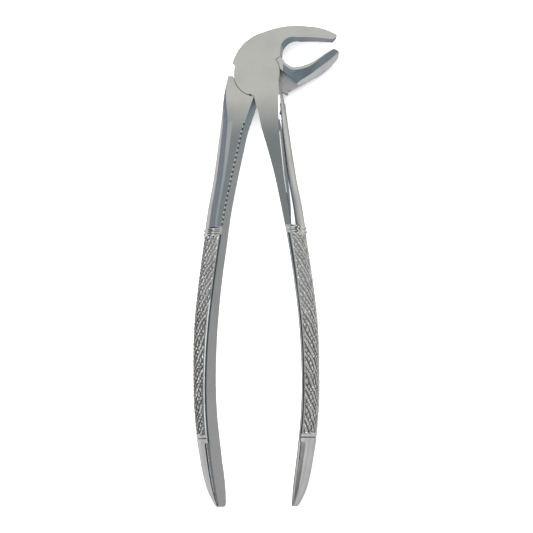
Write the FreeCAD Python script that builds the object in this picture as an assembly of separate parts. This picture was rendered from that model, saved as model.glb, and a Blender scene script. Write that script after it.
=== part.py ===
"""Extraction forceps for lower teeth: two forged steel halves that cross at one riveted lap joint.

Units are millimetres. The origin is on the pivot axis, on the rear face of the round joint.
+Z runs along the pivot axis from the rear face to the front face, the beaks point along +X
and the handles run down -Y. The joint value 0 is the closed instrument.
"""
import FreeCAD
import Part
import math
import os

from FreeCAD import Vector

# Joint
JOINT_THICKNESS = 9.2
LAP_LEVEL = JOINT_THICKNESS / 2
LAP_PLAY = 0.015                 # each half's lap face stands this far off the lap plane
DISC_RADIUS = 7.8
DISC_PLAY = 0.2                  # between a disc's rim and the wall it turns in
SWING_RADIUS = 13.1              # room for the other half's beak root as the joint opens
SWING_START = -66.5              # the arc that room covers, in degrees about the axis
SWING_END = 36.0
SHOULDER_ANGLE = 159.5           # front half's step that faces the rear half's shank
HEEL_ANGLE = 35.0                # front half's step beside the rear half's beak
ROOT_TOP_ANGLE = 33.0            # where the rear half's beak leaves the disc
ROOT_BOTTOM_ANGLE = -38.5
FUSE_DEPTH = 0.5                 # how far shapes reach into a disc before they are joined
NOTCH_RADIUS = 0.75              # relief where the front shank leaves the disc
NOTCH_ANGLE = -107.0

# Pivot rivet
RIVET_RADIUS = 2.6
RIVET_HEAD_RADIUS = 4.2
RIVET_HEAD_DEPTH = 1.6
RIVET_PLAY = 0.03                # radial running clearance in the rear half

# Handles, by distance down from the pivot axis
MIDLINE_X = -1.8                 # the line halfway between the two handles
STATIONS = [0.6, 4, 9, 13, 18.5, 27, 35, 46, 57, 70, 85, 100, 113, 126, 139, 144.3]
OUTER_REACH = [8.1, 9.0, 10.3, 10.9, 11.65, 12.85, 14.05, 16.1]
OUTER_REACH += [17.6, 19.4, 20.95, 21.25, 20.9, 19.35, 16.4, 13.7]
FRONT_INNER = [-0.7, 0.1, 1.05, 2.15, 3.25, 5.6, 7.6, 9.8, 11.8, 13.7, 15.15, 15.6, 15.2, 13.8, 12.1, 11.6]
REAR_INNER = [-3.2, -1.9, -0.4, 1.1, 2.9, 4.9, 6.75, 9.0, 10.75, 12.65, 14.3, 15.1, 14.9, 13.7, 12.1, 11.6]
HALF_DEPTH = [4.58, 4.58, 4.58, 4.58, 4.6, 4.65, 4.75, 5.0, 5.3, 5.5, 5.6, 5.6, 5.7, 5.8, 5.3, 3.8]
INNER_TILT = [0, 0, 0, 0, 0, 0.3, 0.6, 1, 1.8, 2, 4, 5.8, 7, 8, 8, 8]     # degrees, both flats face forward
SHANK_STATIONS = [0.6, 4, 9, 15, 22, 30, 41, 51.6]
SHANK_SIDE = [0.05, 0.15, 0.6, 1.15, 1.42, 1.65, 1.85, 2.0]       # across the rounded outer side
FRONT_BEVEL = [0.05, 0.25, 0.7, 0.95, 1.2, 1.4, 1.75, 2.0]     # across each half's polished bevel
REAR_BEVEL = [0.05, 0.25, 1.0, 1.8, 2.0, 2.15, 2.25, 2.3]
FRONT_WALL = [4.5, 4.4, 4.0, 3.8, 3.88, 3.83, 3.64, 3.6]     # half depth of the outer side
REAR_WALL = [4.5, 4.4, 3.8, 3.15, 3.2, 3.18, 3.28, 3.56]
SIDE_START = 44.0                # degrees the outer side slopes where it leaves the bevel
FRONT_SHANK_TOP = 4.0
REAR_SHANK_TOP = 0.6
COLLAR_TOP = 51.6
COLLAR_BOTTOM = 54.2
GRIP_BOTTOM = 120.8
BORDER_BOTTOM = 122.6
HANDLE_BOTTOM = 144.3
BEAD_HEIGHT = 0.35
GRIP_DROP = 0.12                 # plain grip surface below the outer reach

# Beaks
BEAK_TAPER_START_X = 14.0
BEAK_TAPER_ANGLE = 9.0
TIP_SLANT = 0.36                 # the ends lean back by this much per millimetre of depth
UPPER_TIP_X = 27.3
THROAT_DRAFT = 0.8               # the throat and the upper gripping face lean back by this much
PALATE_DRAFT = 0.35              # from the front face to the rear face
WALL_HALF_DEPTH = 0.8            # of the lower beak's outer wall
CREST_HALF_DEPTH = 2.6           # where its long bevel turns steeper
BEAK_ROOT_X = 9.0
LOWER_NOSE_X = 29.5
LOWER_TIP_X = 28.6
PALATE = Vector(13.5, 11.6, 0)   # the top of the gap between the beaks
OUTER_WALL_X = [8.4, 10.6, 14.0, 17.8, 20.5, 22.9, 25.6, 29.5]
OUTER_WALL_Y = [-6.6, -5.6, -4.0, -2.1, -0.75, 1.0, 3.5, 7.6]
CREST_X = [8.4, 13.1, 14.3, 18.1, 20.5, 23.2, 25.6, 29.5]
CREST_Y = [-6.3, -3.75, -2.9, -0.7, 1.1, 2.85, 4.7, 8.2]
GRIPPING_FACE_X = [8.4, 9.9, 11.6, 12.9, 15.6, 18.3, 21.7, 25.1, 29.5]
GRIPPING_FACE_Y = [4.75, 2.95, 1.8, 1.45, 1.8, 2.7, 4.65, 6.7, 9.1]
FRONT_FLAT_X = [8.4, 13.0, 18.4, 21.0, 24.0, 29.5]
FRONT_FLAT_WIDTH = [1.1, 0.9, 1.0, 0.6, 0.35, 0.3]   # between the gripping face and the long bevel
GUTTER_RADIUS = 7.0
GUTTER_RISE = 0.6                # the gutters' middle above the lap level
GUTTER_DEPTH = 0.4               # at the end of each beak
CUT = 2.0                        # how far cutting tools reach past a face


def polar(radius, degrees, z=0.0):
    """The point at this radius and angle about the pivot axis."""
    angle = math.radians(degrees)
    return Vector(radius * math.cos(angle), radius * math.sin(angle), z)


def curve_through(stations, values):
    """A smooth function of the station that passes through every value."""
    count = len(stations)
    chord = [(values[i + 1] - values[i]) / (stations[i + 1] - stations[i]) for i in range(count - 1)]
    slope = [chord[0]] + [(chord[i - 1] + chord[i]) / 2 for i in range(1, count - 1)] + [chord[-1]]

    def value_at(station):
        i = 0
        while i < count - 2 and station > stations[i + 1]:
            i += 1
        span = stations[i + 1] - stations[i]
        t = (station - stations[i]) / span
        start = (2 * t**3 - 3 * t**2 + 1) * values[i] + (t**3 - 2 * t**2 + t) * span * slope[i]
        end = (3 * t**2 - 2 * t**3) * values[i + 1] + (t**3 - t**2) * span * slope[i + 1]
        return start + end

    return value_at


outer_reach = curve_through(STATIONS, OUTER_REACH)
front_inner = curve_through(STATIONS, FRONT_INNER)
rear_inner = curve_through(STATIONS, REAR_INNER)
half_depth = curve_through(STATIONS, HALF_DEPTH)
inner_tilt = curve_through(STATIONS, INNER_TILT)
shank_side = curve_through(SHANK_STATIONS, SHANK_SIDE)
front_bevel = curve_through(SHANK_STATIONS, FRONT_BEVEL)
rear_bevel = curve_through(SHANK_STATIONS, REAR_BEVEL)
front_wall = curve_through(SHANK_STATIONS, FRONT_WALL)
rear_wall = curve_through(SHANK_STATIONS, REAR_WALL)
outer_wall = curve_through(OUTER_WALL_X, OUTER_WALL_Y)
crest = curve_through(CREST_X, CREST_Y)
gripping_face = curve_through(GRIPPING_FACE_X, GRIPPING_FACE_Y)
front_flat_width = curve_through(FRONT_FLAT_X, FRONT_FLAT_WIDTH)


def shank_corners(side, station, depth, thickness):
    """The ends of the front flat and of the polished bevel on the plain shank."""
    bevel = front_bevel(station) if side > 0 else rear_bevel(station)
    wall = front_wall(station) if side > 0 else rear_wall(station)
    bevel_u = thickness - shank_side(station)
    return (bevel_u - bevel, depth), (bevel_u, wall)


def grip_corners(depth):
    """The same two corners beside the rounded grip, with a narrow smooth margin."""
    return (0.45, depth), (1.45, depth - 0.2)


def end_corners(depth, thickness):
    """The same two corners on the polished handle end."""
    return (0.24 * thickness, depth), (0.46 * thickness, 0.86 * depth)


def handle_section(side, station, outline, swell=0.0):
    """The closed section of a handle at a station; side is 1 for the right handle, -1 for the left."""
    inner = front_inner(station) if side > 0 else rear_inner(station)
    thickness = outer_reach(station) - inner + swell
    depth = half_depth(station) + swell
    tilt = math.radians(inner_tilt(station))
    level = LAP_LEVEL + thickness / 2 * math.sin(tilt)
    if outline == "shank":
        flat_end, bevel_end = shank_corners(side, station, depth, thickness)
    elif outline == "grip":
        flat_end, bevel_end = grip_corners(depth)
    else:
        flat_end, bevel_end = end_corners(depth, thickness)

    def place(u, w):
        across = inner + u * math.cos(tilt) + w * math.sin(tilt)
        return Vector(MIDLINE_X + side * across, -station, level - u * math.sin(tilt) + w * math.cos(tilt))

    flat_u, flat_w = flat_end
    bevel_u, bevel_w = bevel_end
    if outline == "shank":
        reach = bevel_u + 4 / 3 * (thickness - bevel_u)
        shoulder = bevel_w - (reach - bevel_u) * math.tan(math.radians(SIDE_START))
        outer_side = Part.BezierCurve()
        poles = [(bevel_u, bevel_w), (reach, shoulder), (reach, -shoulder), (bevel_u, -bevel_w)]
        outer_side.setPoles([place(u, w) for u, w in poles])
    else:
        outer_side = Part.Arc(place(bevel_u, bevel_w), place(thickness, 0), place(bevel_u, -bevel_w))
    edges = [
        Part.LineSegment(place(0, depth), place(flat_u, flat_w)),
        Part.LineSegment(place(flat_u, flat_w), place(bevel_u, bevel_w)),
        outer_side,
        Part.LineSegment(place(bevel_u, -bevel_w), place(flat_u, -flat_w)),
        Part.LineSegment(place(flat_u, -flat_w), place(0, -depth)),
        Part.LineSegment(place(0, -depth), place(0, depth)),
    ]
    return Part.Wire([edge.toShape() for edge in edges])


def loft(sections):
    """A closed solid through the sections."""
    return Part.makeLoft(sections, True, False)


def steps(first, last, count):
    """Evenly spaced values from first to last."""
    return [first + (last - first) * i / (count - 1) for i in range(count)]


def handle(side):
    """Shank, beaded collar, grip, border and polished end of one handle."""
    shank_top = FRONT_SHANK_TOP if side > 0 else REAR_SHANK_TOP
    shank = loft([handle_section(side, s, "shank") for s in steps(shank_top, COLLAR_TOP, 14)])
    collar = []
    for s in steps(COLLAR_TOP, COLLAR_BOTTOM, 17):
        t = (s - COLLAR_TOP) / (COLLAR_BOTTOM - COLLAR_TOP)
        swell = BEAD_HEIGHT * math.sin(2 * math.pi * t) ** 2 - GRIP_DROP
        collar.append(handle_section(side, s, "grip", swell))
    grip = loft([handle_section(side, s, "grip", -GRIP_DROP) for s in steps(COLLAR_BOTTOM, GRIP_BOTTOM, 14)])
    border = loft([handle_section(side, s, "end") for s in steps(GRIP_BOTTOM, BORDER_BOTTOM, 3)])
    end = loft([handle_section(side, s, "end") for s in steps(BORDER_BOTTOM, HANDLE_BOTTOM, 12)])
    return shank.multiFuse([loft(collar), grip, border, end])


def plate(outline, bottom, top):
    """A flat plate with this outline, from one level to another."""
    wire = Part.Wire([edge.toShape() for edge in outline])
    face = Part.Face(wire)
    face.translate(Vector(0, 0, bottom))
    return face.extrude(Vector(0, 0, top - bottom))


def cylinder(radius, bottom, top):
    """A cylinder about the pivot axis."""
    return Part.makeCylinder(radius, top - bottom, Vector(0, 0, bottom))


def sector(radius, start, stop, bottom, top):
    """A slice of a cylinder about the pivot axis, between two angles."""
    middle = (start + stop) / 2
    outline = [
        Part.LineSegment(Vector(0, 0, 0), polar(radius, start)),
        Part.Arc(polar(radius, start), polar(radius, middle), polar(radius, stop)),
        Part.LineSegment(polar(radius, stop), Vector(0, 0, 0)),
    ]
    return plate(outline, bottom, top)


def block(corners, bottom, top):
    """A prism on a polygon."""
    points = [Vector(x, y, 0) for x, y in corners]
    outline = [Part.LineSegment(a, b) for a, b in zip(points, points[1:] + points[:1])]
    return plate(outline, bottom, top)


def wedge_along_y(points_xz):
    """A long prism along Y on a polygon in X and Z, for cutting planes that lean in X."""
    points = [Vector(x, -20, z) for x, z in points_xz]
    wire = Part.makePolygon(points + [points[0]])
    return Part.Face(wire).extrude(Vector(0, 60, 0))


def wedge_along_x(points_yz):
    """A long prism along X on a polygon in Y and Z, for cutting planes that lean in Y."""
    points = [Vector(-20, y, z) for y, z in points_yz]
    wire = Part.makePolygon(points + [points[0]])
    return Part.Face(wire).extrude(Vector(60, 0, 0))


def beak_taper():
    """What both beaks lose at the rear so that they narrow towards their ends."""
    reach = 20.0
    drop = reach * math.tan(math.radians(BEAK_TAPER_ANGLE))
    x = BEAK_TAPER_START_X
    return wedge_along_y([(x, 0), (x + reach, drop), (x + reach, -CUT), (x, -CUT)])


def tip_cut(tip_x):
    """What a beak loses beyond its slanted end."""
    top = JOINT_THICKNESS + CUT
    front_x = tip_x + TIP_SLANT * CUT
    rear_x = tip_x - TIP_SLANT * (JOINT_THICKNESS + CUT)
    return wedge_along_y([(front_x, top), (rear_x, -CUT), (tip_x + 9, -CUT), (tip_x + 9, top)])


def gutter(start, end, into_gap):
    """A trough along a beak's gripping face, from nothing at start to its depth at the end."""
    level = LAP_LEVEL + GUTTER_RISE
    sideways = Vector(end.y - start.y, start.x - end.x, 0) * into_gap
    sideways.normalize()
    first = start + sideways * GUTTER_RADIUS
    last = end + sideways * (GUTTER_RADIUS - GUTTER_DEPTH)
    first.z = level
    last.z = level + GUTTER_RISE
    axis = last - first
    return Part.makeCylinder(GUTTER_RADIUS, axis.Length + CUT, first, axis)


def horn_outline(draft):
    """The front half's horn at one level; draft is 0 at the front face and 1 at the rear face."""
    throat_shift = Vector(-THROAT_DRAFT * draft, 0, 0)
    palate_shift = Vector(0, PALATE_DRAFT * draft, 0)
    step_inner = polar(DISC_RADIUS - FUSE_DEPTH, SHOULDER_ANGLE)
    step_outer = Vector(-8.3, 3.65, 0)
    crown = Vector(2.4, 13.85, 0)
    brow = Vector(17.5, 15.1, 0)
    nose = Vector(26.75, 12.05, 0)
    tip = Vector(27.1, 11.1, 0)
    tip_corner = Vector(25.6, 10.3, 0) + palate_shift
    palate_middle = Vector(19.2, 11.27, 0) + palate_shift
    palate = PALATE + palate_shift
    palate_root = Vector(9.5, 10.8, 0) + palate_shift + throat_shift * 0.5
    throat = Vector(8.1, 8.1, 0) + throat_shift
    heel_outer = polar(9.5, HEEL_ANGLE - 1) + throat_shift
    heel_inner = polar(DISC_RADIUS - FUSE_DEPTH, HEEL_ANGLE)
    return [
        Part.LineSegment(step_inner, step_outer),
        Part.Arc(step_outer, Vector(-5.7, 8.8, 0), crown),
        Part.Arc(crown, Vector(9.75, 15.45, 0), brow),
        Part.Arc(brow, Vector(22.3, 14.15, 0), nose),
        Part.Arc(nose, Vector(27.25, 11.65, 0), tip),
        Part.Arc(tip, Vector(26.45, 10.6, 0) + palate_shift * 0.6, tip_corner),
        Part.Arc(tip_corner, palate_middle, palate),
        Part.Arc(palate, palate_root, throat),
        Part.LineSegment(throat, heel_outer),
        Part.LineSegment(heel_outer, heel_inner),
        Part.LineSegment(heel_inner, step_inner),
    ]


def upper_beak():
    """The front half's horn: from the left shoulder over the joint to the beak's end."""
    sections = []
    for draft in (1, 0):
        section = Part.Wire([edge.toShape() for edge in horn_outline(draft)])
        section.translate(Vector(0, 0, JOINT_THICKNESS * (1 - draft)))
        sections.append(section)
    horn = Part.makeLoft(sections, True, True)
    rear_bevel_cut = wedge_along_x([(12.6, 0), (17.6, 2.9), (17.6, -CUT), (12.6, -CUT)])
    trough = gutter(PALATE, Vector(25.6, 10.3, 0), 1)
    return horn.cut(rear_bevel_cut).cut(beak_taper()).cut(tip_cut(UPPER_TIP_X)).cut(trough)


def front_half():
    """Right handle, front joint disc and upper beak, forged in one."""
    rim = DISC_RADIUS + DISC_PLAY
    lap = LAP_LEVEL + LAP_PLAY
    body = handle(1).fuse(upper_beak())
    body = body.cut(cylinder(rim, -CUT, lap))
    body = body.cut(sector(SWING_RADIUS, SWING_START, SWING_END, -CUT, lap))
    cheek = [(7.7, 0.9), (7.38, -2.5), (7.42, -5.4), (7.12, -9.4), (2, -9.4), (2, 0.9)]
    disc = cylinder(DISC_RADIUS, lap, JOINT_THICKNESS).fuse(block(cheek, lap, JOINT_THICKNESS))
    notch_axis = polar(DISC_RADIUS + NOTCH_RADIUS / 2, NOTCH_ANGLE)
    notch = Part.makeCylinder(NOTCH_RADIUS, JOINT_THICKNESS + CUT, notch_axis)
    body = body.fuse(disc).cut(notch)
    return body.cut(cylinder(RIVET_RADIUS, -CUT, JOINT_THICKNESS + CUT)).removeSplitter()


def lower_beak():
    """The rear half's beak: a narrow front flat, a long bevel, a crest and a narrow outer wall."""
    sections = []
    for x in steps(BEAK_ROOT_X, LOWER_NOSE_X, 18):
        grip_y = gripping_face(x)
        wall_y = outer_wall(x)
        profile = [(grip_y, LAP_LEVEL), (grip_y - front_flat_width(x), LAP_LEVEL)]
        profile += [(crest(x), CREST_HALF_DEPTH), (wall_y, WALL_HALF_DEPTH)]
        corners = profile + [(y, -w) for y, w in reversed(profile)]
        points = [Vector(x, y, LAP_LEVEL + w) for y, w in corners]
        sections.append(Part.makePolygon(points + [points[0]]))
    nose = [(25.6, 7.0), (26.5, 7.0), (27.4, 6.65), (28.0, 5.9), (28.4, 5.0), (28.2, 4.0)]
    nose_cut = block(nose + [(32, 4.0), (32, 12), (25.6, 12)], -CUT, JOINT_THICKNESS + CUT)
    trough = gutter(Vector(15.0, 1.65, 0), Vector(27.0, 7.5, 0), -1)
    return loft(sections).cut(beak_taper()).cut(nose_cut).cut(tip_cut(LOWER_TIP_X)).cut(trough)


def beak_root():
    """Joins the lower beak to the rear half's disc."""
    top_inner = polar(DISC_RADIUS - FUSE_DEPTH, ROOT_TOP_ANGLE)
    top_outer = polar(9.5, ROOT_TOP_ANGLE)
    beak_top = Vector(BEAK_ROOT_X, gripping_face(BEAK_ROOT_X), 0)
    beak_bottom = Vector(BEAK_ROOT_X, outer_wall(BEAK_ROOT_X), 0)
    bottom_outer = polar(10.3, ROOT_BOTTOM_ANGLE + 2)
    bottom_inner = polar(DISC_RADIUS - FUSE_DEPTH, ROOT_BOTTOM_ANGLE)
    outline = [
        Part.LineSegment(top_inner, top_outer),
        Part.Arc(top_outer, Vector(8.4, 4.75, 0), beak_top),
        Part.LineSegment(beak_top, beak_bottom),
        Part.LineSegment(beak_bottom, bottom_outer),
        Part.LineSegment(bottom_outer, bottom_inner),
        Part.LineSegment(bottom_inner, top_inner),
    ]
    return plate(outline, 0, JOINT_THICKNESS)


def rear_half():
    """Left handle, rear joint disc and lower beak, forged in one."""
    rim = DISC_RADIUS + DISC_PLAY
    lap = LAP_LEVEL - LAP_PLAY
    top = JOINT_THICKNESS + CUT
    shoulder = block([(8.0, 1.1), (13.2, -3.7), (16.0, -9.0), (0, -9.0), (0, 1.1)], lap, top)
    beak = lower_beak().fuse(beak_root()).cut(shoulder)
    shank_corner = block([(-8.35, -0.5), (-8.35, -0.75), (-7.4, -1.6), (-7.4, -0.5)], -CUT, top)
    body = handle(-1).cut(shank_corner).fuse(beak).cut(cylinder(rim, lap, top))
    body = body.fuse(cylinder(DISC_RADIUS, 0, lap))
    bore = cylinder(RIVET_RADIUS + RIVET_PLAY, -CUT, top)
    sink_play = 2 * RIVET_PLAY
    sink = Part.makeCone(RIVET_HEAD_RADIUS + sink_play, RIVET_RADIUS + sink_play, RIVET_HEAD_DEPTH)
    return body.cut(bore).cut(sink).removeSplitter()


def pivot_rivet():
    """Countersunk rivet, closed flush at the front."""
    shaft = cylinder(RIVET_RADIUS, 0, JOINT_THICKNESS)
    head = Part.makeCone(RIVET_HEAD_RADIUS, RIVET_RADIUS, RIVET_HEAD_DEPTH)
    return shaft.fuse(head).removeSplitter()


def main():
    """Writes one STEP file for each piece."""
    os.makedirs("parts", exist_ok=True)
    pieces = {"front_half": front_half(), "rear_half": rear_half(), "pivot_rivet": pivot_rivet()}
    for name, shape in pieces.items():
        print(name, len(shape.Solids), shape.isValid(), round(shape.Volume, 1))
        shape.exportStep("parts/" + name + ".step")


main()
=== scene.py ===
"""Extraction forceps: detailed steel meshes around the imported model, a plain studio and the camera.

The row frame is in metres, and sizes here are in millimetres until a mesh is made. +X is the way
the beaks point, -Y runs down the handles, and +Z is the pivot axis, from the rear face to the front.
"""
import math

import bmesh
import bpy
import numpy as np
from mathutils import Matrix, Vector


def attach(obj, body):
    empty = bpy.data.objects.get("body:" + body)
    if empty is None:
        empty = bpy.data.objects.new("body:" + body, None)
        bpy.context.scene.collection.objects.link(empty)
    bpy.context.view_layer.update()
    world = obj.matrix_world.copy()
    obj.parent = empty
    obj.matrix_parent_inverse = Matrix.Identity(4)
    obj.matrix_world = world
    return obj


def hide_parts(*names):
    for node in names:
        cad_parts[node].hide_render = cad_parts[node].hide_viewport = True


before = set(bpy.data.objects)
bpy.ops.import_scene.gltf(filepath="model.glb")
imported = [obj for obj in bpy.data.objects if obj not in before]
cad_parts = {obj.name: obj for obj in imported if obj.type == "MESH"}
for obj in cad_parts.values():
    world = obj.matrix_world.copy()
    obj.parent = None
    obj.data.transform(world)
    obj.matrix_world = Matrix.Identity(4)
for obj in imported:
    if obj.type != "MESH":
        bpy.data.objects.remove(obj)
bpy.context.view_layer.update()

MM = 0.001

# ---------------------------------------------------------------- handle shape
# A station is a distance down the handle from the pivot. The tables give, at their stations, how far
# the outer sides and the two inner flats are from the midline, half the depth, and how many degrees the
# inner flats lean. On the shanks they also give the width of the outer side that the front shows, the
# bevels' widths, and half the depth of the outer sides.
LAP_LEVEL = 4.6
MIDLINE_X = -1.8
STATIONS = [0.6, 4, 9, 13, 18.5, 27, 35, 46, 57, 70, 85, 100, 113, 126, 139, 144.3]
OUTER_REACH = [8.1, 9.0, 10.3, 10.9, 11.65, 12.85, 14.05, 16.1,
               17.6, 19.4, 20.95, 21.25, 20.9, 19.35, 16.4, 13.7]
FRONT_INNER = [-0.7, 0.1, 1.05, 2.15, 3.25, 5.6, 7.6, 9.8, 11.8, 13.7, 15.15, 15.6, 15.2, 13.8, 12.1, 11.6]
REAR_INNER = [-3.2, -1.9, -0.4, 1.1, 2.9, 4.9, 6.75, 9.0, 10.75, 12.65, 14.3, 15.1, 14.9, 13.7, 12.1, 11.6]
HALF_DEPTH = [4.58, 4.58, 4.58, 4.58, 4.6, 4.65, 4.75, 5.0, 5.3, 5.5, 5.6, 5.6, 5.7, 5.8, 5.3, 3.8]
INNER_TILT = [0, 0, 0, 0, 0, 0.3, 0.6, 1, 1.8, 2, 4, 5.8, 7, 8, 8, 8]
SHANK_STATIONS = [0.6, 4, 9, 15, 22, 30, 41, 51.6]
SHANK_SIDE = [0.05, 0.15, 0.6, 1.15, 1.42, 1.65, 1.85, 2.0]
FRONT_BEVEL = [0.05, 0.25, 0.7, 0.95, 1.2, 1.4, 1.75, 2.0]
REAR_BEVEL = [0.05, 0.25, 1.0, 1.8, 2.0, 2.15, 2.25, 2.3]
FRONT_WALL = [4.5, 4.4, 4.0, 3.8, 3.88, 3.83, 3.64, 3.6]
REAR_WALL = [4.5, 4.4, 3.8, 3.15, 3.2, 3.18, 3.28, 3.56]
SIDE_START = 44.0          # degrees the outer side slopes where it leaves the bevel

SEAM = 16.0                # the forged head's mesh ends and the handle's mesh starts here
LINE_STATIONS = (20, 41)   # outside them a painted dark reflection line divides the right shank's front flat and its bevel
COLLAR_TOP = 51.6
COLLAR_BOTTOM = 54.2
COLLAR_BLEND = (COLLAR_TOP - 0.1, COLLAR_TOP + 0.35)   # the shank's section turns into the grip's
MARGIN_BLEND = (62, 82)    # the margin beside the crosshatching changes its width
UPPER_GRIP_BOTTOM = 76.0   # above this the left margin takes the crosshatched grip's finish
GRIP_BOTTOM = 120.8
GROOVE = 121.9             # the border's groove
GROOVE_HALF_WIDTH = 0.16
GROOVE_DEPTH = 0.26
BEVEL_TOP = 123.4
END_TURN = 129.2           # the painted dark reflection line beside the front flat stops here on the right handle
HANDLE_BOTTOM = 144.3
BOTTOM_ROUNDING = 1.1      # along the handle
BOTTOM_SHRINK = 0.36       # how much smaller the last section is than the one where the rounding starts
BEAD_HEIGHT = 0.4
BEAD_GAP = 0.25            # how deep the collar sinks between its beads
BEVEL_SWELL = 0.6          # how much of that reaches the bevel
MARGIN_FLAT = {1: 0.5, -1: 0.65}      # the smooth strip beside the crosshatching: its flat,
MARGIN_WIDE = {1: 1.5, -1: 0.8}       # its width at the collar
MARGIN_NARROW = {1: 1.05, -1: 1.15}   # and from the middle of the grip down,
MARGIN_FALL = 0.25                    # and how far it slopes back
END_FLAT = 0.19            # where the end's front flat stops, as a part of the thickness,
END_BEVEL = 0.42           # where its bevel does,
END_SHOULDER = 0.86        # and how deep that is, as a part of half the depth
INNER_ROUNDING = {1: 0.25, -1: 0.5}   # the edge between the inner flat and the front
KNURL_PITCH = 2.6          # along the handle
KNURL_WIDTH = 1.45         # around it
KNURL_DEEP = 0.42          # the grooves that run outward as they go down
KNURL_SHALLOW = 0.3        # the ones that cross them
KNURL_TOP = 0.16           # the flat left between two grooves, as a part of the pitch
KNURL_DARK = 0.18          # below this depth a groove gets the duller groove finish, whose darker colour is painted shade
REFLECTION_DASH_LENGTH = 0.8       # of the painted dashes of edge highlight and dark reflection along the left shank's inner edge
EDGE_RADIUS = 0.16
BEVEL_CROWN = 0.02         # how far a bevel bulges, as a part of its width

# the strips of a handle's ring, from the middle of the inner flat to the middle of the outer side
INNER, CORNER, LINE, FLAT_IN, FLAT_OUT, TURN, BEVEL_IN, BEVEL_OUT, EDGE, SIDE = range(10)


def curve_through(stations, values):
    """A smooth function of the station that passes through every value."""
    count = len(stations)
    chord = [(values[i + 1] - values[i]) / (stations[i + 1] - stations[i]) for i in range(count - 1)]
    slope = [chord[0]] + [(chord[i - 1] + chord[i]) / 2 for i in range(1, count - 1)] + [chord[-1]]

    def value_at(station):
        i = 0
        while i < count - 2 and station > stations[i + 1]:
            i += 1
        span = stations[i + 1] - stations[i]
        t = (station - stations[i]) / span
        start = (2 * t**3 - 3 * t**2 + 1) * values[i] + (t**3 - 2 * t**2 + t) * span * slope[i]
        end = (3 * t**2 - 2 * t**3) * values[i + 1] + (t**3 - t**2) * span * slope[i + 1]
        return start + end

    return value_at


outer_reach = curve_through(STATIONS, OUTER_REACH)
front_inner = curve_through(STATIONS, FRONT_INNER)
rear_inner = curve_through(STATIONS, REAR_INNER)
half_depth = curve_through(STATIONS, HALF_DEPTH)
inner_tilt = curve_through(STATIONS, INNER_TILT)
shank_side = curve_through(SHANK_STATIONS, SHANK_SIDE)
front_bevel = curve_through(SHANK_STATIONS, FRONT_BEVEL)
rear_bevel = curve_through(SHANK_STATIONS, REAR_BEVEL)
front_wall = curve_through(SHANK_STATIONS, FRONT_WALL)
rear_wall = curve_through(SHANK_STATIONS, REAR_WALL)


def smoothstep(low, high, value):
    """0 below low, 1 above high, and smooth between them."""
    t = min(1.0, max(0.0, (value - low) / (high - low)))
    return t * t * (3 - 2 * t)


def mix(a, b, t):
    """Between two tuples."""
    return tuple(p + (q - p) * t for p, q in zip(a, b))


def corners_at(station, side, depth, thickness):
    """Where the front flat and the bevel end, across and in depth."""
    on_shank = min(station, COLLAR_TOP)
    bevel = front_bevel(on_shank) if side > 0 else rear_bevel(on_shank)
    wall = front_wall(on_shank) if side > 0 else rear_wall(on_shank)
    bevel_end = thickness - shank_side(on_shank)
    shank = (bevel_end - bevel, depth, bevel_end, wall)
    narrowing = MARGIN_WIDE[side] - MARGIN_NARROW[side]
    margin = MARGIN_WIDE[side] - narrowing * smoothstep(*MARGIN_BLEND, station)
    grip = (MARGIN_FLAT[side], depth, margin, depth - MARGIN_FALL)
    end = (END_FLAT * thickness, depth, END_BEVEL * thickness, END_SHOULDER * depth)
    found = mix(shank, grip, smoothstep(*COLLAR_BLEND, station))
    return mix(found, end, smoothstep(BEVEL_TOP - 0.5, BEVEL_TOP + 0.5, station))


def swell_at(station):
    """How far the outer side stands out at the collar's beads and sinks at the groove and the end."""
    swell = 0.0
    if COLLAR_TOP < station < COLLAR_BOTTOM:
        t = (station - COLLAR_TOP) / (COLLAR_BOTTOM - COLLAR_TOP)
        swell = (BEAD_HEIGHT + BEAD_GAP) * abs(math.sin(2 * math.pi * t)) ** 0.8 - BEAD_GAP
    swell -= GROOVE_DEPTH * math.exp(-(((station - GROOVE) / GROOVE_HALF_WIDTH) ** 2))
    return swell


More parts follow.
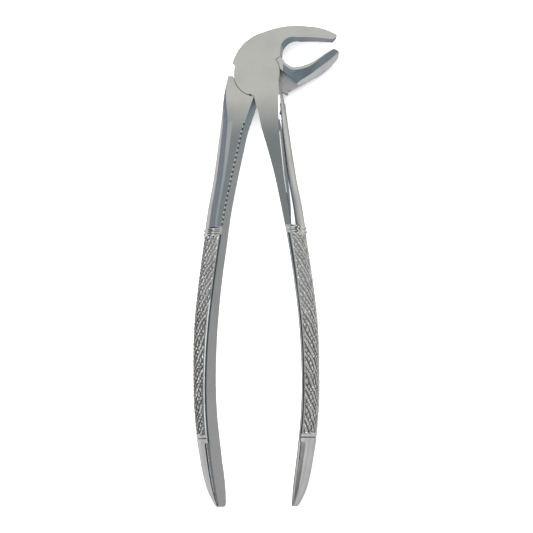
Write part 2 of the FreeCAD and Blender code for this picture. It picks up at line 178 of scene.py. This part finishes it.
def profile(station, side):
    """Half of the closed section, from the middle of the inner flat to the middle of the outer side.

    Returns the points (across, depth), each point's strip, and the distance round the outer side."""
    inner = front_inner(station) if side > 0 else rear_inner(station)
    thickness = outer_reach(station) - inner
    depth = half_depth(station)
    flat_u, flat_w, bevel_u, bevel_w = corners_at(station, side, depth, thickness)
    swell = swell_at(station)
    bevel_w += swell * BEVEL_SWELL
    thickness += swell
    points = []
    strips = []
    around = []

    def line(a, b, fractions, strip):
        for f in fractions:
            points.append((a[0] + (b[0] - a[0]) * f, a[1] + (b[1] - a[1]) * f))
            strips.append(strip)
            around.append(0.0)

    def corner(before, at, after, corner_strips, size):
        """A small rounded corner, up to where the next strip starts; returns that place."""
        at = np.array(at)
        into = np.array(before) - at
        out = np.array(after) - at
        most = 0.8 if CORNER in corner_strips else 0.3
        size = min(size, most * np.linalg.norm(into), most * np.linalg.norm(out))
        start = at + into / np.linalg.norm(into) * size
        end = at + out / np.linalg.norm(out) * size
        for i, strip in enumerate(corner_strips):
            f = i / (len(corner_strips) - 1)
            spot = start * (1 - f) ** 2 + at * 2 * f * (1 - f) + end * f**2
            points.append(tuple(spot))
            strips.append(strip)
            around.append(0.0)
        return end

    middle = (0.0, 0.0)
    inner_corner = (0.0, depth)
    flat_end = (flat_u, flat_w)
    bevel_end = (bevel_u, bevel_w)
    side_points, side_around = outer_side(thickness, bevel_u, bevel_w, station)
    rounding = INNER_ROUNDING[side] if station > COLLAR_BOTTOM or side < 0 else EDGE_RADIUS
    line(middle, inner_corner, (0.0, 0.25, 0.5, 0.75, 0.86), INNER)
    flat_start = corner(middle, inner_corner, flat_end, (CORNER, CORNER, LINE, LINE, FLAT_IN), rounding)
    line(flat_start, flat_end, (0.28, 0.4, 0.5), FLAT_IN)
    line(flat_start, flat_end, (0.68,), FLAT_OUT)
    corner(flat_start, flat_end, bevel_end, (TURN, TURN, TURN, TURN, BEVEL_IN), EDGE_RADIUS * 0.7)
    across = np.array(bevel_end) - np.array(flat_end)
    crown = np.array((-across[1], across[0])) * BEVEL_CROWN * (1 - 0.6 * smoothstep(40, 48, station))
    for f in (0.32, 0.38, 0.44, 0.5, 0.6, 0.68):
        spot = np.array(flat_end) + across * f + crown * 4 * f * (1 - f)
        line(spot, spot, (0.0,), BEVEL_IN if f < 0.4 else BEVEL_OUT if f < 0.65 else EDGE)
    corner(flat_end, bevel_end, side_points[1], (EDGE, EDGE, EDGE, EDGE, SIDE), EDGE_RADIUS * 0.7)
    for spot, distance in zip(side_points[1:], side_around[1:]):
        points.append(spot)
        strips.append(SIDE)
        around.append(distance)
    return points, strips, around, side_around[-1]


def outer_side(thickness, bevel_u, bevel_w, station):
    """The outer side from the bevel to its middle: its points and the distance to each of them.

    It is a flatter curve on the shank and an arc on the grip."""
    count = 46
    centre = (thickness**2 - bevel_u**2 - bevel_w**2) / (2 * (thickness - bevel_u))
    radius = thickness - centre
    first_angle = math.atan2(bevel_w, bevel_u - centre)
    reach = bevel_u + 4 / 3 * (thickness - bevel_u)
    shoulder = bevel_w - (reach - bevel_u) * math.tan(math.radians(SIDE_START))
    round_part = smoothstep(*COLLAR_BLEND, station)
    spots = []
    around = [0.0]
    for i in range(count):
        t = i / (count - 1)
        angle = first_angle * (1 - t)
        arc = (centre + radius * math.cos(angle), radius * math.sin(angle))
        s = t / 2
        a, b, c, d = (1 - s) ** 3, 3 * s * (1 - s) ** 2, 3 * s**2 * (1 - s), s**3
        flatter = ((a + d) * bevel_u + (b + c) * reach, (a - d) * bevel_w + (b - c) * shoulder)
        spots.append(mix(flatter, arc, round_part))
        if i:
            around.append(around[-1] + math.dist(spots[-2], spots[-1]))
    return spots, around


def knurl_height(station, around, offset, seed):
    """The file-cut crosshatch: two families of grooves, one deeper than the other."""
    if not COLLAR_BOTTOM - 0.1 < station < GRIP_BOTTOM + 0.1:
        return 0.0
    fade = smoothstep(COLLAR_BOTTOM + 0.1, COLLAR_BOTTOM + 0.7, station)
    fade *= 1 - smoothstep(GRIP_BOTTOM - 0.7, GRIP_BOTTOM - 0.1, station)
    fade *= smoothstep(0.05, 0.4, around)
    drift = 0.16 * math.sin(0.37 * station + seed) + 0.1 * math.sin(1.13 * station + 2 * seed)
    one = station / KNURL_PITCH + offset / KNURL_WIDTH + drift
    two = station / KNURL_PITCH - offset / KNURL_WIDTH + 0.8 * drift + 0.5
    uneven = 0.85 + 0.15 * math.sin(3.1 * math.floor(one + 0.5) + seed)
    cross = 0.75 + 0.25 * math.sin(5.7 * math.floor(two + 0.5) + 2.3 * math.floor(one) + seed)
    groove_one = max(0.0, 1 - 2 * abs(one - round(one)) / (1 - KNURL_TOP))
    groove_two = max(0.0, 1 - 2 * abs(two - round(two)) / (1 - KNURL_TOP))
    return -fade * max(KNURL_DEEP * uneven * groove_one, KNURL_SHALLOW * cross * groove_two)


def ring(station, side, shrink):
    """One closed section in the row frame, in millimetres.

    Returns its points, the strips between them and how far each point sinks into a groove."""
    half, strips, around, half_length = profile(station, side)
    count = len(half)
    mirrored = [(u, -w) for u, w in half[1:-1]][::-1]
    section = half + mirrored
    around_all = around + around[1:-1][::-1]
    sign = [1] * count + [-1] * (count - 2)
    strip_all = strips[:-1] + strips[:-1][::-1]
    inner = front_inner(station) if side > 0 else rear_inner(station)
    thickness = outer_reach(station) - inner
    tilt = math.radians(inner_tilt(station))
    level = LAP_LEVEL + thickness / 2 * math.sin(tilt)
    placed = []
    sunk = []
    for i, (u, w) in enumerate(section):
        lift = 0.0
        if around_all[i] > 0:
            before = section[i - 1]
            after = section[(i + 1) % len(section)]
            nu, nw = before[1] - after[1], after[0] - before[0]
            length = math.hypot(nu, nw)
            offset = (half_length - around_all[i]) * sign[i]
            lift = knurl_height(station, around_all[i], offset, side + 2.0)
            u += nu / length * lift
            w += nw / length * lift
        u = thickness / 2 + (u - thickness / 2) * shrink
        w *= shrink
        across = inner + u * math.cos(tilt) + w * math.sin(tilt)
        placed.append((MIDLINE_X + side * across, -station, level - u * math.sin(tilt) + w * math.cos(tilt)))
        sunk.append(-lift)
    return placed, strip_all, sunk


def handle_stations():
    """Close together where the surface has detail."""
    found = list(np.arange(SEAM, COLLAR_TOP - 0.3, REFLECTION_DASH_LENGTH))
    found += list(np.arange(COLLAR_TOP - 0.25, COLLAR_BOTTOM, 0.08))
    found += list(np.arange(COLLAR_BOTTOM, GRIP_BOTTOM, 0.16))
    found += list(np.arange(GRIP_BOTTOM, BEVEL_TOP + 0.8, 0.07))
    found += list(np.arange(BEVEL_TOP + 0.8, HANDLE_BOTTOM - BOTTOM_ROUNDING - 0.2, 0.7))
    return found


def section_at(station):
    """The part of a handle that a station is in."""
    if station < COLLAR_TOP - 0.05:
        return "shank" if LINE_STATIONS[0] < station < LINE_STATIONS[1] else "shank end"
    if station < COLLAR_BOTTOM:
        return "collar"
    if station < GRIP_BOTTOM:
        return "grip" if station > UPPER_GRIP_BOTTOM else "upper grip"
    if station < BEVEL_TOP:
        return "border"
    return "end" if station > END_TURN else "upper end"


def handle_mesh(name, side):
    """Shank, collar, crosshatched grip, border and polished end as one closed mesh, and its finishes."""
    rings = [(station, 1.0) for station in handle_stations()]
    steps = 12
    for i in range(1, steps + 1):
        angle = math.pi / 2 * i / steps
        shrink = 1 - BOTTOM_SHRINK * (1 - math.cos(angle))
        rings.append((HANDLE_BOTTOM - BOTTOM_ROUNDING + BOTTOM_ROUNDING * math.sin(angle), shrink))
    vertices = []
    faces = []
    finishes = []
    sunk = []
    strip_row = None
    for station, shrink in rings:
        points, strip_row, sunk_row = ring(station, side, shrink)
        vertices += points
        sunk += sunk_row
    width = len(strip_row)
    for r in range(len(rings) - 1):
        station = (rings[r][0] + rings[r + 1][0]) / 2
        for i in range(width):
            j = (i + 1) % width
            quad = (r * width + i, r * width + j, (r + 1) * width + j, (r + 1) * width + i)
            faces.append(quad if side > 0 else quad[::-1])
            finish = STRIP_FINISH[section_at(station), side][strip_row[i]]
            # deep grooves and the border's groove take the groove finish, with its painted shade
            in_crosshatch = sum(sunk[corner] for corner in quad) / 4 > KNURL_DARK
            in_border = finish == "end_side" and abs(station - GROOVE) < GROOVE_HALF_WIDTH
            if in_crosshatch or in_border:
                finish = "groove"
            # on every other ring the painted dashes of edge highlight give way to the painted dark reflection
            # line
            elif finish == "chatter" and r % 2:
                finish = "dark_line"
            finishes.append(finish)
    top = tuple(range(width))
    bottom = tuple((len(rings) - 1) * width + i for i in range(width))
    faces.append(top[::-1] if side > 0 else top)
    faces.append(bottom if side > 0 else bottom[::-1])
    finishes += ["inner_flat", "end_side"]
    mesh = bpy.data.meshes.new(name)
    mesh.from_pydata([Vector(v) * MM for v in vertices], [], faces)
    for polygon in mesh.polygons:
        polygon.use_smooth = True
    mesh.polygons[len(faces) - 2].use_smooth = False
    obj = bpy.data.objects.new(name, mesh)
    bpy.context.scene.collection.objects.link(obj)
    last = (len(rings) - 1) * width
    for edge in mesh.edges:
        a, b = edge.vertices
        if (a < width and b < width) or (a >= last and b >= last):
            edge.use_edge_sharp = True
    mesh.update()
    return obj, finishes


# ---------------------------------------------------------------- forged heads
SHARP_ANGLE = 24           # degrees between two faces whose edge is eased
EASED_WIDTH = 0.42         # for a bevel weight of 1
EASED_PART = 0.3           # the bevel weight of most edges
CREST_HALF_DEPTH = 2.6     # of the edge between the lower beak's long bevel and its outer wall
CREST_ANGLE = 50           # that edge turns by less than this,
CREST_START_X = 17         # and rounds off more and more from here to the tip
RIVET_REACH = 4.5          # the rivet's edges are within this of the axis, and stay sharp
SHANK_TOP_Y = -2.2         # the shanks' faces are below this level
SHANK_X = 8.6              # and on the near side of this
LOWER_BEAK_X = 8.4         # the lower beak's faces are past this
UPPER_BEAK_X = 7.5         # the upper beak's gripping face is past this
PALATE_Y = (4, 12.4)       # and between these levels
LAP_FLOOR_Z = (3, 6)       # the lap's flats are between these depths


def head_mesh(name, node):
    """The joint, the beak and the top of the shank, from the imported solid, with eased edges."""
    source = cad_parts[node]
    bm = bmesh.new()
    bm.from_mesh(source.data)
    bm.transform(source.matrix_world)
    bmesh.ops.remove_doubles(bm, verts=bm.verts, dist=2e-6)
    bmesh.ops.dissolve_limit(bm, angle_limit=math.radians(0.4), verts=bm.verts, edges=bm.edges)
    cut_y = -SEAM * MM
    everything = bm.verts[:] + bm.edges[:] + bm.faces[:]
    bmesh.ops.bisect_plane(bm, geom=everything, plane_co=(0, cut_y, 0), plane_no=(0, -1, 0), clear_outer=True)
    rim = [e for e in bm.edges if e.is_boundary and all(abs(v.co.y - cut_y) < 1e-6 for v in e.verts)]
    bmesh.ops.edgeloop_fill(bm, edges=rim)
    bmesh.ops.recalc_face_normals(bm, faces=bm.faces)
    layer = bm.edges.layers.float.new("bevel_weight_edge")
    for edge in bm.edges:
        if len(edge.link_faces) != 2 or edge.calc_face_angle() < math.radians(SHARP_ANGLE):
            continue
        on_cut = all(abs(v.co.y - cut_y) < 1e-6 for v in edge.verts)
        at_rivet = all(math.hypot(v.co.x, v.co.y) < RIVET_REACH * MM for v in edge.verts)
        if on_cut or at_rivet:
            edge.smooth = False
            continue
        edge[layer] = EASED_PART
        past = ((edge.verts[0].co + edge.verts[1].co) / 2 / MM).x - CREST_START_X
        if node == "rear_half" and past > 0 and edge.calc_face_angle() < math.radians(CREST_ANGLE):
            edge[layer] = min(1.0, EASED_PART + 0.1 * past)
    mesh = bpy.data.meshes.new(name)
    bm.to_mesh(mesh)
    bm.free()
    obj = bpy.data.objects.new(name, mesh)
    bpy.context.scene.collection.objects.link(obj)
    for polygon in mesh.polygons:
        polygon.use_smooth = True
    return obj


def ease_edges(obj):
    """Small rounded edges beside flats that stay flat."""
    bevel = obj.modifiers.new("eased edges", "BEVEL")
    bevel.width = EASED_WIDTH * MM
    bevel.segments = 3
    bevel.limit_method = "WEIGHT"
    bevel.use_clamp_overlap = True
    bevel.harden_normals = False
    bevel.material = -1
    weighted = obj.modifiers.new("flat faces", "WEIGHTED_NORMAL")
    weighted.keep_sharp = True
    weighted.weight = 90


def head_finish(normal, centre, side):
    """The finish of a head's face, from where it is and which way it looks; several finishes carry painted
    shade or painted reflections.
    """
    x, y, z = centre
    if abs(normal.z) > 0.995:
        if LAP_FLOOR_Z[0] < z < LAP_FLOOR_Z[1]:
            return "lap_floor"
        return "right_front" if side > 0 else "left_front"
    if y < SHANK_TOP_Y and x < SHANK_X:
        if normal.x * side < -0.5:
            return "inner_flat"
        reach = outer_reach(-y) - (x - MIDLINE_X) * side
        if reach < shank_side(-y) * 0.9:
            return "satin_side"
        return "polished_bevel" if side > 0 else "left_bevel"
    if side < 0 and x > LOWER_BEAK_X:
        if normal.y > 0.3:
            return "gripping_face"
        return "beak_bevel" if abs(z - LAP_LEVEL) > CREST_HALF_DEPTH - 0.1 else "beak_wall"
    if x > UPPER_BEAK_X and PALATE_Y[0] < y < PALATE_Y[1] and normal.y < -0.4:
        return "gripping_face"
    return "plate_rim"


# ---------------------------------------------------------------- materials
def steel(name, color, rough, brush=(60, 900, 900), bump=0.15, mottle=0.1, far=None, metal=1.0):
    """Polished or satin steel with grinding lines, fine grain and uneven sheen.

    brush is the grinding lines' density along each axis. With metal below 1, some of the colour comes
    from scattered light, as on a fine-ground face. far adds painted shade or a painted highlight that
    fades in along one axis; it is described beside the far colours."""
    material = bpy.data.materials.new(name)
    material.use_nodes = True
    nodes = material.node_tree.nodes
    links = material.node_tree.links
    shader = nodes["Principled BSDF"]
    shader.inputs["Metallic"].default_value = metal
    coords = nodes.new("ShaderNodeTexCoord")

    lines_map = nodes.new("ShaderNodeMapping")
    lines_map.inputs["Scale"].default_value = brush
    links.new(coords.outputs["Object"], lines_map.inputs["Vector"])
    lines = nodes.new("ShaderNodeTexNoise")
    lines.inputs["Scale"].default_value = 6.0
    lines.inputs["Detail"].default_value = 4.0
    lines.inputs["Roughness"].default_value = 0.65
    links.new(lines_map.outputs["Vector"], lines.inputs["Vector"])

    patches = nodes.new("ShaderNodeTexNoise")
    patches.inputs["Scale"].default_value = 130.0
    patches.inputs["Detail"].default_value = 3.0
    links.new(coords.outputs["Object"], patches.inputs["Vector"])

    speckle = nodes.new("ShaderNodeTexNoise")
    speckle.inputs["Scale"].default_value = 1400.0
    speckle.inputs["Detail"].default_value = 2.0
    links.new(coords.outputs["Object"], speckle.inputs["Vector"])

    both = nodes.new("ShaderNodeMix")
    both.data_type = "FLOAT"
    both.inputs["Factor"].default_value = 0.5
    links.new(lines.outputs["Fac"], both.inputs["A"])
    links.new(speckle.outputs["Fac"], both.inputs["B"])

    shade = nodes.new("ShaderNodeMix")
    shade.data_type = "RGBA"
    shade.blend_type = "MULTIPLY"
    shade.inputs["A"].default_value = (*color, 1)
    dull = 1 - 2.2 * mottle
    shade.inputs["B"].default_value = (dull, dull, dull, 1)
    # the far colour: painted shade or a painted highlight that fades in along one axis
    if far:
        far_color, axis, near_at, far_at = far
        place = nodes.new("ShaderNodeSeparateXYZ")
        links.new(coords.outputs["Object"], place.inputs["Vector"])
        along = nodes.new("ShaderNodeMapRange")
        along.interpolation_type = "SMOOTHSTEP"
        along.inputs["From Min"].default_value = near_at * MM
        along.inputs["From Max"].default_value = far_at * MM
        links.new(place.outputs[axis], along.inputs["Value"])
        fade = nodes.new("ShaderNodeMix")
        fade.data_type = "RGBA"
        fade.inputs["A"].default_value = (*color, 1)
        fade.inputs["B"].default_value = (*far_color, 1)
        links.new(along.outputs["Result"], fade.inputs["Factor"])
        links.new(fade.outputs["Result"], shade.inputs["A"])
    spread = nodes.new("ShaderNodeMapRange")
    spread.inputs["From Min"].default_value = 0.42
    spread.inputs["From Max"].default_value = 0.72
    links.new(patches.outputs["Fac"], spread.inputs["Value"])
    links.new(spread.outputs["Result"], shade.inputs["Factor"])
    links.new(shade.outputs["Result"], shader.inputs["Base Color"])

    gloss = nodes.new("ShaderNodeMapRange")
    gloss.inputs["From Min"].default_value = 0.3
    gloss.inputs["From Max"].default_value = 0.7
    gloss.inputs["To Min"].default_value = max(0.02, rough * (1 - 1.6 * mottle))
    gloss.inputs["To Max"].default_value = rough * (1 + 2.0 * mottle)
    links.new(both.outputs["Result"], gloss.inputs["Value"])
    links.new(gloss.outputs["Result"], shader.inputs["Roughness"])

    relief = nodes.new("ShaderNodeBump")
    relief.inputs["Strength"].default_value = bump
    relief.inputs["Distance"].default_value = 0.00002
    links.new(both.outputs["Result"], relief.inputs["Height"])
    links.new(relief.outputs["Normal"], shader.inputs["Normal"])


ALONG_HANDLE = (900, 45, 900)
ALONG_BEAK = (60, 900, 900)
EVEN = (400, 400, 400)
PLATE_COLOR = (0.83, 0.83, 0.80)
# a far colour, the axis it comes in along, and where the change starts and ends in millimetres; each such
# fade is painted shade or a painted highlight
LEFT_HIGHLIGHT_FAR = ((0.46, 0.53, 0.57), "Y", -20.0, -48.0)
INNER_FAR = ((0.62, 0.63, 0.62), "Y", -14.0, -34.0)
BEVEL_FAR = ((0.19, 0.225, 0.245), "X", 13.0, 24.0)
# both front flats fade to a darker bluish grey down the shank: painted shade
steel("right_front", PLATE_COLOR, 0.33, EVEN, 0.08, 0.04, ((0.32, 0.35, 0.36), "Y", -5.0, -24.0))
steel("left_front", PLATE_COLOR, 0.30, EVEN, 0.08, 0.05, ((0.33, 0.375, 0.39), "Y", -6.0, -24.0))
steel("polished_bevel", (0.86, 0.87, 0.88), 0.07, ALONG_HANDLE, 0.02, 0.03)
# the left shank's polished bevel, painted dark: a painted dark reflection of the bevel that shows white on
# the right
steel("left_bevel", (0.15, 0.17, 0.195), 0.3, ALONG_HANDLE, 0.02, 0.04, metal=0.5)
# a painted soft highlight on the left shank's front flat, fading to bluish grey down the shank
steel("left_streak", (0.60, 0.63, 0.63), 0.30, ALONG_HANDLE, 0.02, 0.04, LEFT_HIGHLIGHT_FAR)
steel("satin_side", (0.72, 0.72, 0.69), 0.32, ALONG_HANDLE, 0.02, 0.05)
# the inner flats, painted dark teal near the crotch and fading to grey down the handles: painted shade
# between the two halves
steel("inner_flat", (0.40, 0.52, 0.56), 0.30, ALONG_HANDLE, 0.08, 0.05, INNER_FAR)
# painted grey dashes of edge highlight along the left shank's inner edge
steel("chatter", (0.25, 0.26, 0.25), 0.3, (900, 900, 900), 0.3, 0.1, metal=0.3)
# a painted dark reflection: the dark line seen along edges and beside the grips' margins
steel("dark_line", (0.10, 0.14, 0.17), 0.22, ALONG_HANDLE, 0.02, 0.05)
# a painted grey reflection line along the right grip's inner edge and the left end's front
steel("grey_line", (0.30, 0.30, 0.31), 0.25, ALONG_HANDLE, 0.02, 0.05)
steel("brown_bevel", (0.42, 0.40, 0.38), 0.3, ALONG_HANDLE, 0.04, 0.1)
# a painted highlight along the left grip's smooth margin and the left end
steel("pale_line", (0.50, 0.50, 0.49), 0.3, ALONG_HANDLE, 0.02, 0.12, metal=0.35)
# the right grip's smooth margin and the right end's front flat, painted dark grey: a painted dark reflection
steel("right_margin", (0.30, 0.30, 0.295), 0.3, ALONG_HANDLE, 0.02, 0.12, metal=0.35)
steel("knurled_grip", (0.74, 0.74, 0.71), 0.08, EVEN, 0.05, 0.05)
# the grooves' darker colour, darker still down the handle: painted shade in the crosshatch and the border's
# groove
steel("groove", (0.44, 0.44, 0.43), 0.2, EVEN, 0.1, 0.1, ((0.22, 0.22, 0.21), "Y", -72.0, -92.0))
steel("end_side", (0.42, 0.42, 0.415), 0.3, ALONG_HANDLE, 0.03, 0.05, metal=0.55)
steel("plate_rim", (0.74, 0.75, 0.74), 0.2, EVEN, 0.06, 0.06)
# the gripping faces, painted dark teal and lighter toward the tip: painted shade between the beaks
steel("gripping_face", (0.22, 0.37, 0.41), 0.2, ALONG_BEAK, 0.1, 0.1, ((0.44, 0.46, 0.50), "X", 14.0, 19.0))
steel("lap_floor", (0.76, 0.77, 0.77), 0.42, ALONG_BEAK, 0.3, 0.1)
# the lower beak's long bevel, painted dark teal and lighter toward the tip: a painted dark reflection
steel("beak_bevel", (0.10, 0.135, 0.15), 0.35, ALONG_BEAK, 0.05, 0.06, BEVEL_FAR, 0.5)
steel("beak_wall", (0.46, 0.46, 0.475), 0.3, (900, 60, 900), 0.15, 0.08, metal=0.4)

# the finish of each strip, from the inner flat round to the outer side; the dark, grey and pale lines, the
# dashes and the left bevel's colour are painted reflections
STRIP_FINISH = {
    ("shank", 1): ["inner_flat"] + ["right_front"] * 4 + ["polished_bevel"] * 3 + ["dark_line", "satin_side"],
    ("shank end", 1): ["inner_flat"] + ["right_front"] * 4 + ["dark_line"]
    + ["polished_bevel"] * 2 + ["dark_line", "satin_side"],
    ("collar", 1): ["inner_flat"] + ["knurled_grip"] * 9,
    ("grip", 1): ["inner_flat"] + ["grey_line"] * 2 + ["right_margin"] * 2 + ["dark_line"] * 3
    + ["knurled_grip"] * 2,
    ("border", 1): ["inner_flat"] + ["grey_line"] * 2 + ["right_margin"] * 2 + ["dark_line"] * 2
    + ["end_side"] * 3,
    ("upper end", 1): ["inner_flat"] + ["dark_line"] * 2 + ["right_margin"] + ["dark_line"] * 2
    + ["brown_bevel"] * 3 + ["end_side"],
    ("end", 1): ["inner_flat"] + ["dark_line"] * 2 + ["right_margin"] + ["brown_bevel"] * 5 + ["end_side"],
    ("shank", -1): ["inner_flat", "chatter", "chatter", "left_front", "left_streak"]
    + ["left_bevel"] * 4 + ["satin_side"],
    ("collar", -1): ["inner_flat"] + ["knurled_grip"] * 9,
    ("upper grip", -1): ["inner_flat"] + ["dark_line"] * 2 + ["knurled_grip"] * 7,
    ("grip", -1): ["inner_flat"] + ["dark_line"] * 2 + ["pale_line"] * 5 + ["knurled_grip"] * 2,
    ("border", -1): ["inner_flat"] + ["dark_line"] * 2 + ["pale_line"] * 3 + ["end_side"] * 4,
    ("end", -1): ["inner_flat"] + ["grey_line"] * 3 + ["pale_line"] + ["dark_line"] * 2 + ["end_side"] * 3,
}
STRIP_FINISH["upper grip", 1] = STRIP_FINISH["grip", 1]
STRIP_FINISH["shank end", -1] = STRIP_FINISH["shank", -1]
STRIP_FINISH["upper end", -1] = STRIP_FINISH["end", -1]
for strip_names in STRIP_FINISH.values():
    assert len(strip_names) == SIDE + 1


def paint(obj, finishes):
    """Gives each face of a mesh its finish."""
    names = sorted(set(finishes))
    for name in names:
        obj.data.materials.append(bpy.data.materials[name])
    for polygon, finish in zip(obj.data.polygons, finishes):
        polygon.material_index = names.index(finish)


# ---------------------------------------------------------------- pieces
for half, side in (("front", 1), ("rear", -1)):
    handle, strips = handle_mesh("right_handle" if side > 0 else "left_handle", side)
    paint(handle, strips)
    head = head_mesh("joint_and_upper_beak" if side > 0 else "joint_and_lower_beak", half + "_half")
    paint(head, [head_finish(p.normal, p.center / MM, side) for p in head.data.polygons])
    ease_edges(head)
    for piece in (handle, head):
        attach(piece, half)
        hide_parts(half + "_half")

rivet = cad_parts["pivot_rivet"]
rivet.data.materials.clear()
rivet.data.materials.append(bpy.data.materials["right_front"])

# ---------------------------------------------------------------- floor, light and camera
FLOOR_LEVEL = -1.05
bpy.ops.mesh.primitive_plane_add(size=6.0, location=(0, 0, FLOOR_LEVEL * MM))
floor = bpy.context.object
floor.name = "floor"
floor_paint = bpy.data.materials.new("floor_paint")
floor_paint.use_nodes = True
floor_shader = floor_paint.node_tree.nodes["Principled BSDF"]
floor_shader.inputs["Base Color"].default_value = (0.93, 0.93, 0.93, 1)
floor_shader.inputs["Roughness"].default_value = 0.9
floor_shader.inputs["Specular IOR Level"].default_value = 0.0
floor_shader.inputs["Emission Color"].default_value = (1, 1, 1, 1)
floor_shader.inputs["Emission Strength"].default_value = 0.3
floor.data.materials.append(floor_paint)
floor.visible_glossy = False


WALL_COLOR = (0.86, 0.86, 0.86)


def studio_world():
    """A soft room: the steel mirrors its dark band at the horizon, and its wall is pale when seen."""
    world = bpy.data.worlds.new("studio")
    world.use_nodes = True
    nodes = world.node_tree.nodes
    links = world.node_tree.links
    background = nodes["Background"]
    coords = nodes.new("ShaderNodeTexCoord")
    split = nodes.new("ShaderNodeSeparateXYZ")
    links.new(coords.outputs["Generated"], split.inputs["Vector"])
    lift = nodes.new("ShaderNodeMapRange")
    lift.inputs["From Min"].default_value = -1.0
    lift.inputs["From Max"].default_value = 1.0
    links.new(split.outputs["Z"], lift.inputs["Value"])
    ramp = nodes.new("ShaderNodeValToRGB")
    links.new(lift.outputs["Result"], ramp.inputs["Fac"])
    stops = [
        (0.00, (0.34, 0.35, 0.36)),
        (0.06, (0.42, 0.42, 0.42)),
        (0.20, (0.74, 0.74, 0.72)),
        (0.46, (0.82, 0.82, 0.80)),
        (0.49, (0.20, 0.23, 0.26)),
        (0.53, (0.04, 0.05, 0.07)),
        (0.60, (0.10, 0.12, 0.15)),
        (0.80, (0.26, 0.27, 0.28)),
        (0.93, (0.52, 0.52, 0.51)),
        (1.00, (0.62, 0.62, 0.60)),
    ]
    elements = ramp.color_ramp.elements
    while len(elements) > 1:
        elements.remove(elements[-1])
    elements[0].position = stops[0][0]
    elements[0].color = (*stops[0][1], 1)
    for position, color in stops[1:]:
        element = elements.new(position)
        element.color = (*color, 1)
    seen = nodes.new("ShaderNodeLightPath")
    wall = nodes.new("ShaderNodeMix")
    wall.data_type = "RGBA"
    wall.inputs["B"].default_value = (*WALL_COLOR, 1)
    links.new(seen.outputs["Is Camera Ray"], wall.inputs["Factor"])
    links.new(ramp.outputs["Color"], wall.inputs["A"])
    links.new(wall.outputs["Result"], background.inputs["Color"])
    background.inputs["Strength"].default_value = 1.0
    bpy.context.scene.world = world


LAMP_TARGET = (0.0, -0.06, 0.0)


def area_light(name, azimuth, elevation, distance, width, height, radiance, reflected=True):
    """A soft box that looks at the middle of the tool, from azimuth and elevation in degrees."""
    data = bpy.data.lights.new(name, "AREA")
    data.shape = "RECTANGLE"
    data.size = width
    data.size_y = height
    data.energy = radiance * width * height * math.pi
    lamp = bpy.data.objects.new(name, data)
    bpy.context.scene.collection.objects.link(lamp)
    around = math.radians(azimuth)
    up = math.radians(elevation)
    away = Vector((math.cos(up) * math.cos(around), math.cos(up) * math.sin(around), math.sin(up)))
    lamp.location = Vector(LAMP_TARGET) + away * distance
    lamp.rotation_euler = away.to_track_quat("Z", "Y").to_euler()
    lamp.visible_glossy = reflected
    return lamp


studio_world()
area_light("overhead", 100, 70, 1.2, 1.6, 1.6, 5.2, False)
area_light("right_strip", 2, 21, 0.9, 1.2, 0.13, 1.6)
for turn, height in ((35, 50), (152, 44), (208, 52), (300, 46)):
    area_light("soft_box_%d" % turn, turn, height, 0.9, 0.3, 0.16, 2.2)


VIEW_FROM_RIGHT = 10.0     # degrees off the front face's normal
VIEW_FROM_ENDS = 6.5
VIEW_ROLL = -0.46
VIEW_DISTANCE = 0.7
VIEW_CENTRE = (2.001, -64.79, 4.6)


def photo_camera():
    """Looks down at the tool, a little from the right and from the handle ends."""
    data = bpy.data.cameras.new("photo_camera")
    data.sensor_width = 36.0
    data.lens = 141.83
    data.clip_start = 0.01
    data.clip_end = 20.0
    obj = bpy.data.objects.new("photo_camera", data)
    bpy.context.scene.collection.objects.link(obj)
    slope_right = math.tan(math.radians(VIEW_FROM_RIGHT))
    slope_down = -math.tan(math.radians(VIEW_FROM_ENDS))
    away = Vector((slope_right, slope_down, 1)).normalized()
    right = Vector((0, 1, 0)).cross(away).normalized()
    up = away.cross(right)
    turn = Matrix.Rotation(math.radians(VIEW_ROLL), 3, "Z")
    right, up, away = turn @ right, turn @ up, turn @ away
    target = Vector(VIEW_CENTRE) * MM
    rotation = Matrix((right, up, away)).transposed()
    obj.matrix_world = Matrix.Translation(target + away * VIEW_DISTANCE) @ rotation.to_4x4()
    bpy.context.scene.camera = obj


photo_camera()
bpy.context.scene.view_settings.view_transform = "Standard"
